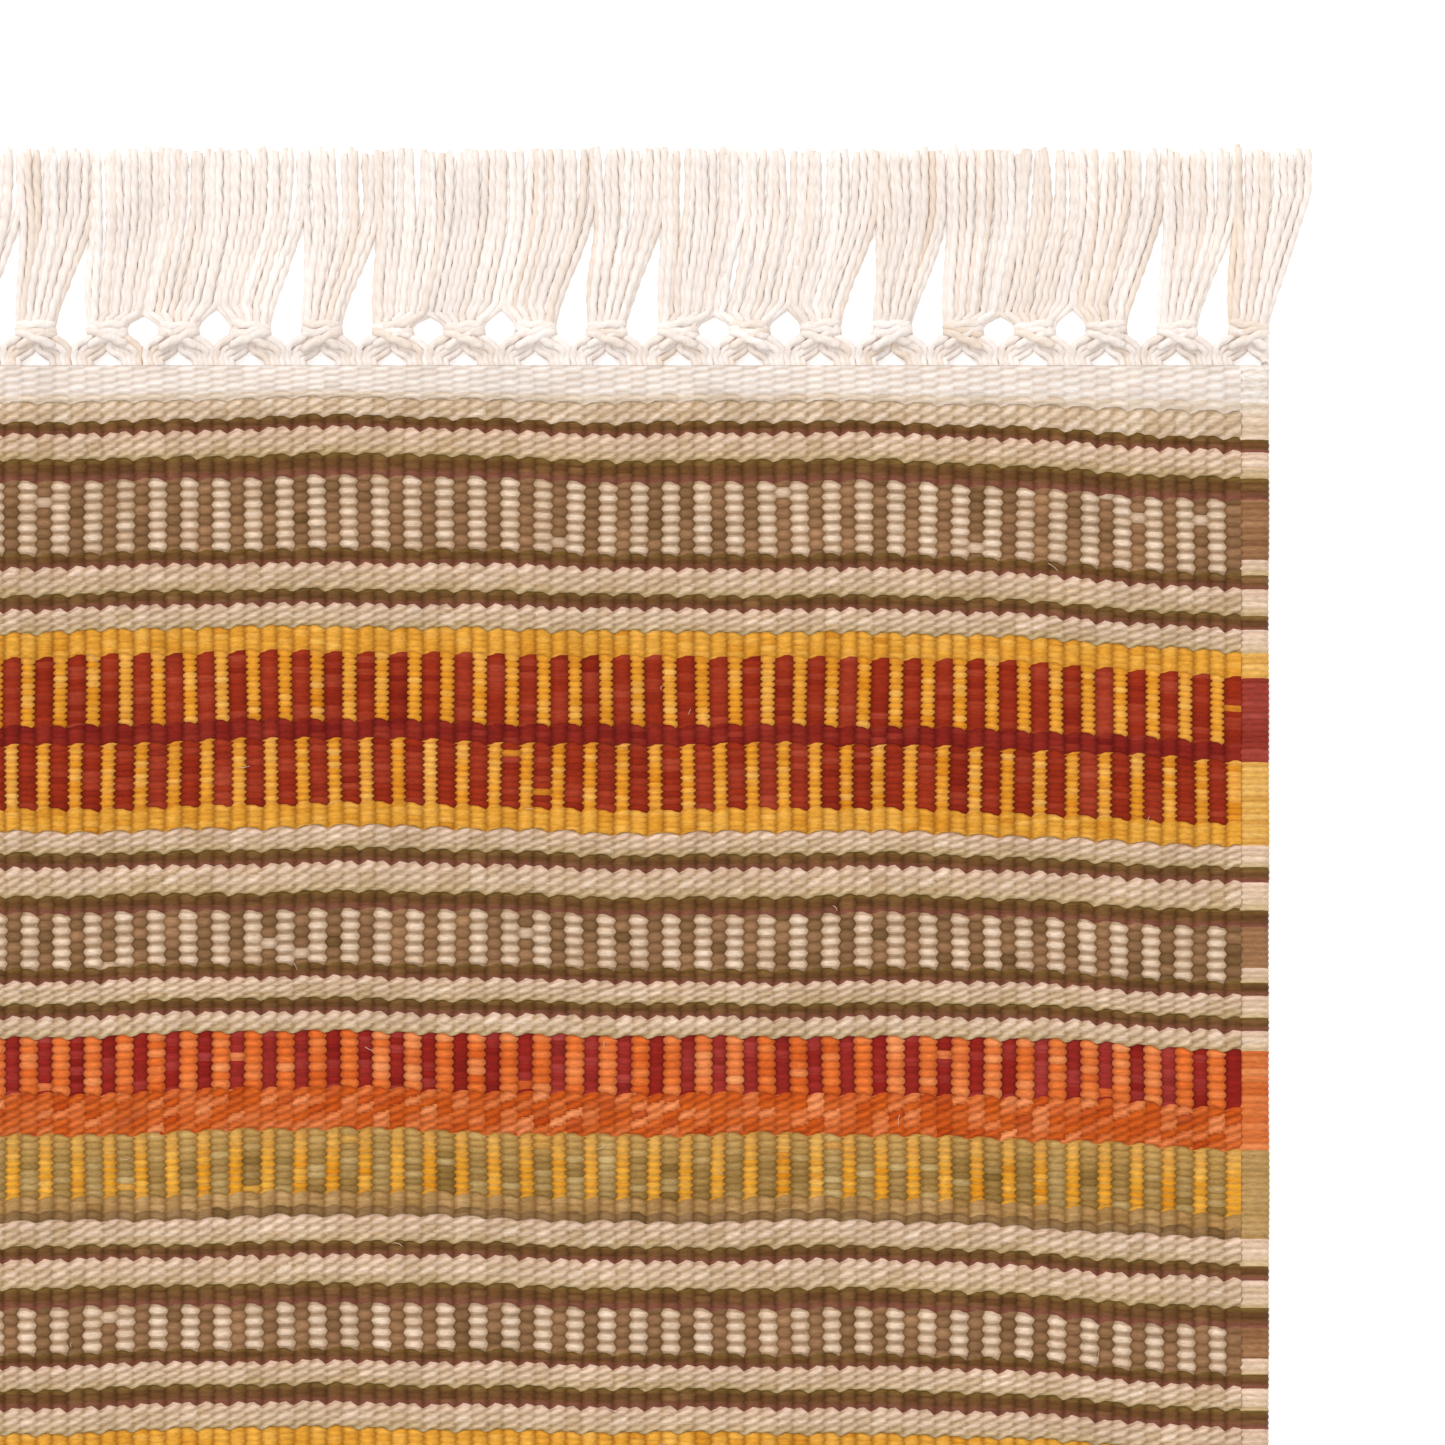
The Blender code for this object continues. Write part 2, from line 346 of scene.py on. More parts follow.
def heights(rows, u, rng):
    """Two values from 0 in the valleys to 1 on the crests: the face's relief, and how light it is there, as
    painted shade that is darker in the valleys.
    """
    _, across, along = bead_phase(rows, u)
    ridge = 1 - (2 * along) ** 2
    hump = (1 - np.abs(2 * across) ** 2.4) ** 0.6
    hump[[0, -1]] = 0.8
    relief = np.zeros((len(rows.y), len(u)))
    shade = np.zeros_like(relief)
    for index, stripe in enumerate(rows.stripes):
        own = rows.owner == index
        if stripe.weave in ("twill", "heading"):
            stroke = 0.5 - 0.5 * np.cos(2 * np.pi * stroke_phase(stripe, rows.phase[own], u))
            part = rows.part[own][:, None]
            crown = np.clip(4 * part * (1 - part), 0, 1) ** 0.4
            high = 1.0 if stripe.weave == "twill" else HEADING_RELIEF
            body = 0.30 + 0.30 * hump[None, :] + 0.40 * stroke ** 0.8
            relief[own] = high * body * (0.6 + 0.4 * crown)
            # Painted shade that follows the strokes: light on them, dark between them.
            shade[own] = 0.75 * stroke + 0.25 * hump[None, :]
        else:
            body = hump[None, :] if stripe.weave != "line" else LINE_RELIEF * hump[None, :]
            relief[own] = body * (1 - stripe.depth * (1 - ridge[own]))
            # Painted shade: dark at the sides of each warp and in the dips between beads.
            shade[own] = (0.3 + 0.7 * hump[None, :]) * (1 - 1.5 * stripe.depth * (1 - ridge[own]))
    border = np.isclose(rows.part, 0) | np.isclose(rows.part, 1)
    relief[border] *= 0.7
    relief[[0, -1]] *= 0.8
    # Painted shade along the seams between stripes.
    shade[border] *= 0.8
    relief += RELIEF_NOISE * rng.normal(size=relief.shape) * (relief > 0.3)
    return np.clip(relief, 0, MOST_RELIEF), np.clip(shade, 0, 1)


# In warp widths.
BULGE = 0.10


def bulge_beads(rows, u, x):
    """Beads bulge sideways over their neighbours, so the border between two warps is scalloped."""
    warp, _, _ = bead_phase(rows, u)
    border = (np.arange(len(u)) % STEPS == 0) & (u > 0) & (u < WARPS)
    left = warp[border] - 1
    along = (rows.phase[:, None] + 0.5 * (left[None, :] % 2)) % 1 - 0.5
    push = BULGE * np.cos(2 * np.pi * along)
    for index, stripe in enumerate(rows.stripes):
        own = rows.owner == index
        if stripe.weave == "columns":
            left_is_first = (left + stripe.swap) % 2 == 0
            push[own] += np.where(left_is_first, stripe.widen, -stripe.widen)[None, :]
        else:
            push[own] *= 0.5
    x[:, border] += push * WARP_PITCH


def mix(first, second, amount):
    """first at amount 0, second at amount 1."""
    return first + (second - first) * amount


def pick(palette, rng, shape, spread=1.0):
    """A yarn colour for each cell: the palette's main colour, drawn towards its lighter or darker one."""
    main, lighter, darker = (linear(colour) for colour in palette)
    pull = np.clip(rng.normal(0, 0.45 * spread, shape), -1, 1)[..., None]
    return np.where(pull > 0, mix(main, lighter, pull), mix(main, darker, -pull))


def paint(rows, u, rng):
    """The colour of each face of the band."""
    columns = len(u) - 1
    middle = (u[:-1] + u[1:]) / 2
    warp = np.minimum(middle.astype(int), WARPS - 1)
    colours = np.zeros((len(rows.y) - 1, columns, 3))
    for index, stripe in enumerate(rows.stripes):
        own = np.flatnonzero(rows.owner[:-1] == index)
        steps = rows.phase[own] + 0.5 / stripe.samples
        part = (rows.part[own] + 0.5 / len(own))[:, None, None]
        if stripe.weave in ("twill", "heading"):
            colours[own] = paint_strokes(stripe, steps, middle, rng)
        else:
            colours[own] = paint_beads(stripe, steps, warp, rng)
        colours[own] = shade_stripe(colours[own], stripe.first, part)
    return colours


def shade_stripe(colours, palette, part):
    """Slow turns of the dye across a stripe; part runs from 0 at its near side to 1 at its far one."""
    if palette is BEIGE:
        colours = mix(colours, linear(PINK), np.clip(2.2 * part - 1.5, 0, 0.5))
        return mix(colours, linear(GREEN), np.clip(0.75 - 1.9 * part, 0, 0.75))
    if palette is DARK:
        colours = mix(colours, linear(OLIVE_BROWN), np.clip(3.4 * part - 2.4, 0, 0.8))
        return mix(colours, linear(MAROON), np.clip(1.0 - 2.4 * part, 0, 0.9))
    if palette is FADING_MUSTARD:
        return mix(colours, linear(FADED), np.clip(1.4 * part - 0.7, 0, 0.55))
    return colours


def paint_beads(stripe, steps, warp, rng):
    """Beads in columns: every other warp in the stripe's second yarn, with a few beads that stray."""
    ridges = int(steps.max()) + 3
    bead = np.floor(steps[:, None] + 0.5 * (warp % 2)[None, :]).astype(int)
    first = pick(stripe.first, rng, (ridges, WARPS))
    second = pick(stripe.second, rng, (ridges, WARPS))
    first = mix(first, pick(stripe.first, rng, (1, WARPS), 0.8), 0.35)
    second = mix(second, pick(stripe.second, rng, (1, WARPS), 0.8), 0.4)
    stray = rng.random((ridges, WARPS, 1)) < stripe.strays
    second = np.where(stray, mix(second, first, 0.75), second)
    is_first = ((warp + stripe.swap) % 2 == 0)[None, :, None]
    first, second = first[bead, warp[None, :]], second[bead, warp[None, :]]
    gap = np.abs((steps[:, None] + 0.5 * (warp % 2)[None, :]) % 1 - 0.5) > 0.36
    if stripe.weave == "columns":
        first = np.where(gap[..., None], mix(first, second, 0.8 * stripe.depth), first)
    return np.where(is_first, first, second)


def paint_strokes(stripe, steps, middle, rng):
    """Slanted strokes, each of one shade that changes a little from warp to warp."""
    stroke = np.floor(stroke_phase(stripe, steps, middle)).astype(int)
    stroke -= stroke.min()
    shades = pick(stripe.first, rng, (stroke.max() + 1,), 0.6)
    grains = pick(stripe.first, rng, (stroke.max() + 1, WARPS), 1.1)
    warp = np.minimum(middle.astype(int), WARPS - 1)
    return mix(shades[stroke], grains[stroke, warp[None, :]], 0.7)


# ---------------------------------------------------------------- mesh building
def new_object(name, points, faces, corners_per_face):
    """An object from points and one list of corners; corners_per_face says how to cut the list up."""
    mesh = bpy.data.meshes.new(name)
    mesh.vertices.add(len(points))
    mesh.vertices.foreach_set("co", np.ascontiguousarray(points, np.float32).ravel())
    mesh.loops.add(len(faces))
    mesh.loops.foreach_set("vertex_index", np.ascontiguousarray(faces, np.int32))
    mesh.polygons.add(len(corners_per_face))
    starts = np.concatenate([[0], np.cumsum(corners_per_face)[:-1]])
    mesh.polygons.foreach_set("loop_start", starts.astype(np.int32))
    mesh.update(calc_edges=True)
    mesh.validate()
    obj = bpy.data.objects.new(name, mesh)
    bpy.context.scene.collection.objects.link(obj)
    return obj


def add_attribute(obj, name, kind, domain, values):
    attribute = obj.data.attributes.new(name, kind, domain)
    if kind == "FLOAT_COLOR":
        values = np.concatenate([values, np.ones((len(values), 1))], axis=1)
        attribute.data.foreach_set("color", values.astype(np.float32).ravel())
    else:
        attribute.data.foreach_set("value", np.asarray(values, np.float32).ravel())


def grid_quads(row_count, column_count, first=0):
    index = first + np.arange(row_count * column_count).reshape(row_count, column_count)
    quads = np.stack([index[:-1, :-1], index[:-1, 1:], index[1:, 1:], index[1:, :-1]], axis=-1)
    return index, quads.reshape(-1, 4)


def wall(fine, coarse, picks, outward):
    """Faces that join a fine edge to a coarse one, whose points lie at picks along the fine one."""
    faces = []
    for here, (start, stop) in enumerate(zip(picks, picks[1:])):
        loop = list(fine[start:stop + 1]) + [coarse[here + 1], coarse[here]]
        faces.append(loop if outward else loop[::-1])
    return faces


# The back takes every fifth row and every other column of the face's grid.
BACK_STEP = 5
BACK_COLUMNS = STEPS // 2
BACK_RELIEF = THICKNESS - VALLEY


def back_shape(x, y, back_rows, back_columns):
    """The back's grid, and how near to the floor each of its points is, from 0 to 1."""
    back_x, back_y = x[np.ix_(back_rows, back_columns)], y[np.ix_(back_rows, back_columns)]
    low = np.where(np.arange(len(back_columns)) % 2 == 1, 1.0, 0.0)[None, :] + 0 * back_x
    low[1::2, :] *= 0.9
    return back_x, back_y, low


def side_walls(top, back, back_rows, back_columns):
    """Faces that close a sheet's four sides between its face's grid and its back's."""
    walls = wall(top[0], back[0], back_columns, True)
    walls += wall(top[-1], back[-1], back_columns, False)
    walls += wall(top[:, 0], back[:, 0], back_rows, False)
    walls += wall(top[:, -1], back[:, -1], back_rows, True)
    return walls


def woven_sheet(name, rows, seed):
    """A closed sheet of weave: fine beads on its face, the same beads more coarsely on its back."""
    rng = np.random.default_rng(seed)
    u = np.arange(WARPS * STEPS + 1) / STEPS
    x, y = place_rows(rows, u)
    relief, shade = heights(rows, u, rng)
    back_rows = np.unique(np.append(np.arange(0, len(rows.y), BACK_STEP), len(rows.y) - 1))
    back_columns = np.arange(0, len(u), BACK_COLUMNS)
    back_x, back_y, low = back_shape(x, y, back_rows, back_columns)
    bulge_beads(rows, u, x)
    x = x + sway(x, y)
    back_x = back_x + sway(back_x, back_y)
    top, top_quads = grid_quads(*x.shape)
    back, back_quads = grid_quads(*back_x.shape, first=x.size)
    points = np.concatenate([
        np.stack([x, y, VALLEY + (CREST - VALLEY) * relief], axis=-1).reshape(-1, 3),
        np.stack([back_x, back_y, BACK_RELIEF * (1 - low)], axis=-1).reshape(-1, 3),
    ])
    walls = side_walls(top, back, back_rows, back_columns)
    corners = np.concatenate([top_quads.ravel(), back_quads[:, ::-1].ravel(), np.concatenate(walls)])
    counts = [4] * (len(top_quads) + len(back_quads)) + [len(face) for face in walls]
    obj = new_object(name, points, corners, counts)
    face_colours = paint(rows, u, rng)
    back_colours = np.roll(face_colours, STEPS, axis=1)[np.ix_(back_rows[:-1], back_columns[:-1])]
    wall_colours = np.tile(face_colours.reshape(-1, 3).mean(0), (len(walls), 1))
    colours = np.concatenate([face_colours.reshape(-1, 3), back_colours.reshape(-1, 3), wall_colours])
    add_attribute(obj, "yarn", "FLOAT_COLOR", "FACE", colours)
    # Painted shade on the back: dark in its hollows, lighter where it lies on the floor.
    back_painted_shade = 0.35 + 0.5 * low
    add_attribute(obj, "shade", "FLOAT", "POINT", np.concatenate([shade.ravel(), back_painted_shade.ravel()]))
    return obj


# ---------------------------------------------------------------- tubes
def tubes(name, paths, radius, sides, twist=0.0, lobe=0.0, colours=None, up=(0, 0, 1)):
    """One object of many tubes, none of which runs along up.

    paths is (tubes, points, 3) and radius a number or (tubes, points). lobe is the share by which a two-ply
    yarn's section swells and shrinks, and twist turns it by so many radians in a metre.
    """
    paths = np.asarray(paths, float)
    count, length, _ = paths.shape
    along = np.gradient(paths, axis=1)
    along /= np.linalg.norm(along, axis=2, keepdims=True)
    side = np.cross(along, np.array(up, float))
    side /= np.linalg.norm(side, axis=2, keepdims=True)
    normal = np.cross(side, along)
    strides = np.linalg.norm(np.diff(paths, axis=1), axis=2)
    run = np.concatenate([np.zeros((count, 1)), np.cumsum(strides, axis=1)], axis=1)
    angle = 2 * np.pi * np.arange(sides) / sides
    ply = 1 + lobe * np.cos(2 * (angle[None, None, :] - twist * run[..., None]))
    reach = np.broadcast_to(np.asarray(radius, float), (count, length))[..., None] * ply
    points = paths[:, :, None, :] + reach[..., None] * (
        np.cos(angle)[None, None, :, None] * side[:, :, None, :]
        + np.sin(angle)[None, None, :, None] * normal[:, :, None, :]
    )
    ring = np.arange(count * length * sides).reshape(count, length, sides)
    after = np.roll(ring, -1, axis=2)
    quads = np.stack([ring[:, :-1], ring[:, 1:], after[:, 1:], after[:, :-1]], axis=-1).reshape(-1, 4)
    start_caps = ring[:, 0, :]
    end_caps = ring[:, -1, ::-1]
    corners = np.concatenate([quads.ravel(), start_caps.ravel(), end_caps.ravel()])
    counts = np.concatenate([np.full(len(quads), 4), np.full(2 * count, sides)])
    obj = new_object(name, points.reshape(-1, 3), corners, counts)
    if colours is None:
        colours = np.tile(linear(CREAM[0]), (count, 1))
    face_colours = np.repeat(colours, (length - 1) * sides, axis=0)
    add_attribute(obj, "yarn", "FLOAT_COLOR", "FACE", np.concatenate([face_colours, colours, colours]))
    # Painted shade on a two-ply yarn: darker in the grooves between the plies.
    painted_ply_shade = 0.5 + 0.5 * (ply - 1) / max(lobe, 1e-6) if lobe else np.ones_like(ply)
    add_attribute(obj, "shade", "FLOAT", "POINT", 0.6 + 0.4 * painted_ply_shade.ravel())
    return obj


# ---------------------------------------------------------------- the fringe
KNOT_TOP = 12.2 * MM
FRINGE_LENGTH = 60.5 * MM
STRANDS = 11
# The radius of a two-ply yarn, and its section.
YARN = 1.14 * MM
YARN_SIDES, PLY_TWIST, PLY_LOBE = 8, 650, 0.16
KNOT_HALF = 4.9 * MM
# How far the tassels lean to the right at their tips.
LEAN = 6.0 * MM
# Heights over the knots at which the gaps between tassels close, in fours from the right edge of the rug.
GAP_HEIGHTS = (2.4 * MM, 31 * MM, 39 * MM, 4.8 * MM)
# The end tassels' outer sides spread by this much for each unit of height.
LEFT_SPREAD, RIGHT_SPREAD = 0.2, 0.31
TASSELS_PER_GROUP = 5


def tassel_centre(index):
    return -EDGE_X + FRINGE_SHIFT + (index + 0.5) * TASSEL_PITCH


def lean(height):
    return LEAN * smooth(height, -4 * MM, 34 * MM)


def gap_half(index, height):
    """Half the width of the gap on the left of tassel index, at a height over the knots."""
    closing = GAP_HEIGHTS[(TASSELS - index) % 4]
    still_open = 1 - height / closing
    open_share = 0.5 * (still_open + np.sqrt(still_open ** 2 + 0.012))
    return (TASSEL_PITCH / 2 - KNOT_HALF) * np.minimum(open_share, 1) ** 1.15


def tassel_sides(index, height):
    """x of a tassel's left and right outline at a height over its knot."""
    centre = tassel_centre(index)
    left = centre - TASSEL_PITCH / 2 + lean(height) + gap_half(index, height)
    right = centre + TASSEL_PITCH / 2 + lean(height) - gap_half(index + 1, height)
    if index == 0:
        left = np.maximum(left, centre - KNOT_HALF - LEFT_SPREAD * height)
    if index == TASSELS - 1:
        right = np.minimum(right, centre + KNOT_HALF + RIGHT_SPREAD * height)
    return left, right


def strand_paths(index, rng, points=27):
    """The loose strands of one tassel, fanned out evenly between its two sides."""
    reach = FRINGE_LENGTH - KNOT_TOP
    height = np.linspace(-3.5 * MM, reach, points)
    left, right = tassel_sides(index, np.maximum(height, 0))
    paths = []
    for strand in range(STRANDS):
        share = strand / (STRANDS - 1) + rng.normal(0, 0.012)
        x = left + 0.2 * YARN + share * (right - left - 0.4 * YARN)
        pitch = (right - left) / STRANDS
        ease = smooth(height, 0, 12 * MM)
        wave = rng.normal(0, 0.32) * np.sin(height / (rng.uniform(6, 11) * MM) + rng.uniform(0, 6.3))
        stray_out = rng.normal(0, 0.5) * smooth(height, 10 * MM, reach)
        x = x + MM * (wave + stray_out) * ease
        tip = rng.normal(0, 0.6 * MM)
        y = KNOT_TOP + height + tip * smooth(height, 0, reach)
        crowd = np.clip(1.0 - 0.6 * pitch / YARN, 0, 1)
        z = YARN + 2.2 * YARN * crowd * (strand % 2) + 0.15 * MM * (1 - ease)
        z = z + 0.2 * MM * ease * rng.uniform(0, 1)
        paths.append(np.stack([x, y, z], axis=-1))
    return paths


def leg_paths(index, rng, points=13):
    """The warps' ends from the heading into the knot, round a flat oval hole: four from each side."""
    centre = tassel_centre(index)
    height = np.linspace(-1.5 * MM, 11.5 * MM, points)
    paths = []
    for side in (-1, 1):
        for order in range(4):
            foot = (4.9 + 1.4 * order + rng.normal(0, 0.1)) * MM
            entry = (0.7 + 0.95 * order) * MM
            start, stop = (1.7 + 1.1 * order) * MM, (4.7 + 1.5 * order) * MM
            x = centre + side * (foot + (entry - foot) * smooth(height, start, stop))
            x = np.clip(x, -EDGE_X + YARN, EDGE_X - YARN)
            over = 0.5 * MM * ((order + (side > 0)) % 2)
            sink = 1.0 * MM * smooth(height, -1 * MM, 1.5 * MM) * (1 - smooth(height, 3 * MM, 8 * MM))
            z = 2.3 * MM - sink + over * smooth(height, 0, 5 * MM)
            paths.append(np.stack([x, height, z], axis=-1))
    return paths


# A knot's turns: height over the heading and half width in mm, slant, and height of the middle in mm.
KNOT_TURNS = (
    (11.3, 4.1, 0.10, 2.5),
    (9.6, 4.5, -0.22, 2.5),
    (7.9, 4.6, 0.50, 2.4),
    (7.6, 4.6, -0.42, 3.0),
)


def knot_paths(index, rng, points=25):
    """The turns of a knot round the gathered yarns; the two lowest cross. Some knots are left-handed."""
    centre = tassel_centre(index)
    turn = np.linspace(-0.5 * np.pi, 1.5 * np.pi, points)
    hand = 1 if rng.random() < 0.7 else -1
    paths = []
    for height, wide, slant, level in KNOT_TURNS:
        tilt = slant * hand + rng.normal(0, 0.07)
        x = wide * MM * np.cos(turn)
        z = level * MM + 1.2 * MM * np.sin(turn)
        y = (height + rng.normal(0, 0.2)) * MM + tilt * x
        paths.append(np.stack([centre + x, y, z], axis=-1))
    return paths


def turned(paths, direction):
    """Points drawn for the far end, turned half round for the near one, and set at the end of the weave."""
    paths = np.array(paths)
    paths[..., 1] += END_Y
    paths[..., :2] *= direction
    return paths


def cream_shades(rng, count):
    return pick(CREAM, rng, (count,), 0.9)


def yarns(name, paths, radius, rng, up=(0, 0, 1)):
    """Two-ply cotton yarns along the paths, each of its own shade."""
    return tubes(name, paths, radius, YARN_SIDES, PLY_TWIST, PLY_LOBE, cream_shades(rng, len(paths)), up)


def group_of_tassels(first, direction, label, rng):
    """Five tassels with their legs and knots, as three pieces."""
    strands, legs, knots = [], [], []
    for index in range(first, first + TASSELS_PER_GROUP):
        strands += strand_paths(index, rng)
        legs += leg_paths(index, rng)
        knots += knot_paths(index, rng)
    strands = turned(strands, direction)
    radius = YARN * (1 + 0.05 * rng.normal(size=strands.shape[:2]))
    radius[:, -1] *= 0.75
    return [
        yarns("tassels_" + label, strands, radius, rng),
        yarns("legs_" + label, turned(legs, direction), YARN, rng),
        yarns("knots_" + label, turned(knots, direction), 1.12 * YARN, rng, up=(0, 1, 0)),
    ]


def build_fringe(direction, body, word):
    """One end's fringe, in seven groups of five tassels, each standing for one group of warps."""
    made = []
    groups = TASSELS // TASSELS_PER_GROUP
    for group in range(groups):
        rng = np.random.default_rng(500 + group + (50 if direction < 0 else 0))
        number = group + 1 if direction > 0 else groups - group
        pieces = group_of_tassels(TASSELS_PER_GROUP * group, direction, f"{word}_{number}", rng)
        for piece in pieces:
            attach(piece, body)
            piece.data.materials.append(COTTON)
        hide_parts(f"warps_{word}_{number}")
        made += pieces
    return made


# ---------------------------------------------------------------- warps inside the weave
INNER_WARP = 0.5 * MM
INNER_WARP_ASIDE = 0.55 * MM


def build_inner_warps():
    """The straight doubled warps that the wefts are beaten over, with extra points across the fold."""
    zone = np.linspace(-FOLD_ZONE, FOLD_ZONE, 15)
    y = np.concatenate([[-END_Y + MM, -END_Y / 2], zone, [END_Y / 2, END_Y - MM]])
    paths = []
    for warp in range(WARPS):
        centre = -WEAVE_X + (warp + 0.5) * WARP_PITCH
        for side in (-1, 1):
            x = centre + side * INNER_WARP_ASIDE + 0 * y
            paths.append(np.stack([x, y, 0 * y + THICKNESS / 2], axis=-1))
    warps = tubes("warps_inside", paths, INNER_WARP, 4)
    warps.data.materials.append(COTTON)
    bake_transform(warps)
    return warps


# ---------------------------------------------------------------- selvedges
# Beside a wool ladder the selvedge starts with this much beige.
LADDER_BEIGE = 4.4 * MM
# The selvedge reaches this far under the bands.
OVERLAP = 0.9 * MM
# One wrap's length, the rings in it and the points in a ring.
WRAP, WRAP_RINGS, WRAP_SIDES = 1.75 * MM, 4, 10
# The section is a rounded box: this power of a circle's sine and cosine.
SQUARENESS = 0.62
WRAP_GROOVE = 0.22 * MM


def selvedge_plan():
    """The stripes of the whole rug as (low y, high y, palette) blocks for its edges."""
    blocks = []
    for name, low, high in band_list():
        rows = Rows(stripes_of(name), low, high)
        for stripe, start, stop in zip(rows.stripes, rows.bounds, rows.bounds[1:]):
            if stripe.weave == "columns" and stripe.edge is EDGE_BROWN:
                blocks.append((start, start + LADDER_BEIGE, BEIGE))
                blocks.append((start + LADDER_BEIGE, stop, EDGE_BROWN))
            else:
                blocks.append((start, stop, stripe.edge))
    return blocks


def selvedge_points(side, straight, ridge):
    """Rings of points along one edge; straight is each ring's y before the bow, ridge runs from 0 to 1."""
    angle = 2 * np.pi * np.arange(WRAP_SIDES) / WRAP_SIDES
    half_width, half_height = (EDGE_X - WEAVE_X) / 2, THICKNESS / 2
    swell = 0.35 * np.sin(straight / (17 * MM)) + 0.25 * np.sin(straight / (7.3 * MM) + 2)
    thick = half_width * (1 - 0.06 * (1 - ridge)) + 0.25 * MM * swell
    cos, sin = np.cos(angle), np.sin(angle)
    outline_x = np.sign(cos) * np.abs(cos) ** SQUARENESS
    outline_z = np.sign(sin) * np.abs(sin) ** SQUARENESS
    inner = outline_x < -0.1
    middle = WEAVE_X + half_width
    x = side * (middle + thick[:, None] * outline_x[None, :] - OVERLAP * inner[None, :])
    z = half_height + (half_height - WRAP_GROOVE * (1 - ridge))[:, None] * outline_z[None, :]
    droop = 0.10 * (outline_x[None, :] * half_width)
    y = lay(side * middle, straight)[:, None]
    y = y - np.abs(droop) * smooth(END_Y - np.abs(straight), 0, 6 * MM)[:, None]
    return np.stack([x, y, z], axis=-1)


def selvedge_faces(side, ring_count):
    """Corner lists of the cord's sides and its two ends."""
    ring = np.arange(ring_count * WRAP_SIDES).reshape(ring_count, WRAP_SIDES)
    after = np.roll(ring, -1, axis=1)
    quads = np.stack([ring[:-1], after[:-1], after[1:], ring[1:]], axis=-1).reshape(-1, 4)
    start, stop = ring[0][::-1], ring[-1]
    if side > 0:
        quads, start, stop = quads[:, ::-1], ring[0], ring[-1][::-1]
    corners = np.concatenate([quads.ravel(), start, stop])
    return corners, np.concatenate([np.full(len(quads), 4), [WRAP_SIDES, WRAP_SIDES]])


def selvedge_colours(straight, phase, rng):
    """The colour of each stretch between two rings: one shade for each wrap, in the stripe's edge yarn."""
    blocks = selvedge_plan()
    starts = np.array([block[0] for block in blocks])
    block_of = np.searchsorted(starts, straight + 1e-9, side="right") - 1
    block_of = np.clip(block_of, 0, len(blocks) - 1)
    turn = np.floor(phase[:-1] + 0.5 / WRAP_RINGS).astype(int)
    shades = np.zeros((len(straight) - 1, 3))
    for number, (low, high, palette) in enumerate(blocks):
        rings = np.flatnonzero(block_of[:-1] == number)
        if len(rings):
            wraps = pick(palette, rng, (turn[rings].max() + 1,), 0.8)
            part = ((straight[rings] - low) / (high - low))[:, None]
            shades[rings] = shade_stripe(wraps[turn[rings]], palette, part)
    return shades


def build_selvedge(side, word):
    """A flattened cord of wrapped weft along one edge, ridged across, in the stripes' edge yarns."""
    rng = np.random.default_rng(900 + side)
    ring_count = round(2 * END_Y / WRAP) * WRAP_RINGS + 1
    straight = np.linspace(-END_Y, END_Y, ring_count)
    phase = np.arange(ring_count) / WRAP_RINGS
    ridge = 0.5 - 0.5 * np.cos(2 * np.pi * phase)
    points = selvedge_points(side, straight, ridge)
    corners, counts = selvedge_faces(side, ring_count)
    obj = new_object(f"selvedge_{word}", points.reshape(-1, 3), corners, counts)
    shades = selvedge_colours(straight, phase, rng)
    face_colours = np.concatenate([np.repeat(shades, WRAP_SIDES, axis=0), shades[:1], shades[-1:]])
    add_attribute(obj, "yarn", "FLOAT_COLOR", "FACE", face_colours)
    # Painted shade: darker in the grooves between wraps.
    add_attribute(obj, "shade", "FLOAT", "POINT", np.repeat(0.6 + 0.4 * ridge, WRAP_SIDES))
    obj.data.materials.append(WOOL)
    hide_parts(f"selvedge_{word}_near", f"selvedge_{word}_far")
    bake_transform(obj)
    return obj


# ---------------------------------------------------------------- loose fibres on the face
FIBRES = 160
FIBRE = 0.09 * MM


def build_fibres(side, body, word):
    """Short pale hairs that have worked loose and lie on the woven face of one half."""
    rng = np.random.default_rng(700 + side)
    t = np.linspace(-0.5, 0.5, 7)
    paths = []
    for _ in range(FIBRES):
        x = rng.uniform(-WEAVE_X, WEAVE_X)
        y = side * rng.uniform(20 * MM, END_Y - 12 * MM)
        turn = rng.uniform(0, math.pi)
        along = t * rng.uniform(1.2, 3.5) * MM
        across = rng.normal(0, 0.25) * MM * (4 * t * t - 1)
        px = x + along * math.cos(turn) - across * math.sin(turn)
        py = y + along * math.sin(turn) + across * math.cos(turn)
        pz = THICKNESS - 0.15 * MM + 0.3 * MM * np.cos(math.pi * t)
        paths.append(np.stack([px, py, pz], axis=-1))
    colours = pick(LIGHT_BEADS, rng, (FIBRES,))
    fibres = tubes(f"loose_fibres_{word}", paths, FIBRE, 3, colours=colours)
    fibres.data.materials.append(COTTON)
    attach(fibres, body)


# ---------------------------------------------------------------- materials
def add_node(material, kind, **sockets):
    node = material.node_tree.nodes.new(kind)
    for socket, value in sockets.items():
        node.inputs[socket.replace("_", " ")].default_value = value
    return node


def fibre_noise(material, fibre_scale):
    """Fine noise drawn out along the fibres; returns its output and the place it is worked out from."""
    links = material.node_tree.links
    place = add_node(material, "ShaderNodeTexCoord")
    stretch = add_node(material, "ShaderNodeMapping", Scale=fibre_scale)
    fibre = add_node(material, "ShaderNodeTexNoise", Scale=1.0, Detail=3.0, Roughness=0.65)
    links.new(place.outputs["Object"], stretch.inputs["Vector"])
    links.new(stretch.outputs["Vector"], fibre.inputs["Vector"])
    return fibre.outputs["Fac"], place.outputs["Object"]


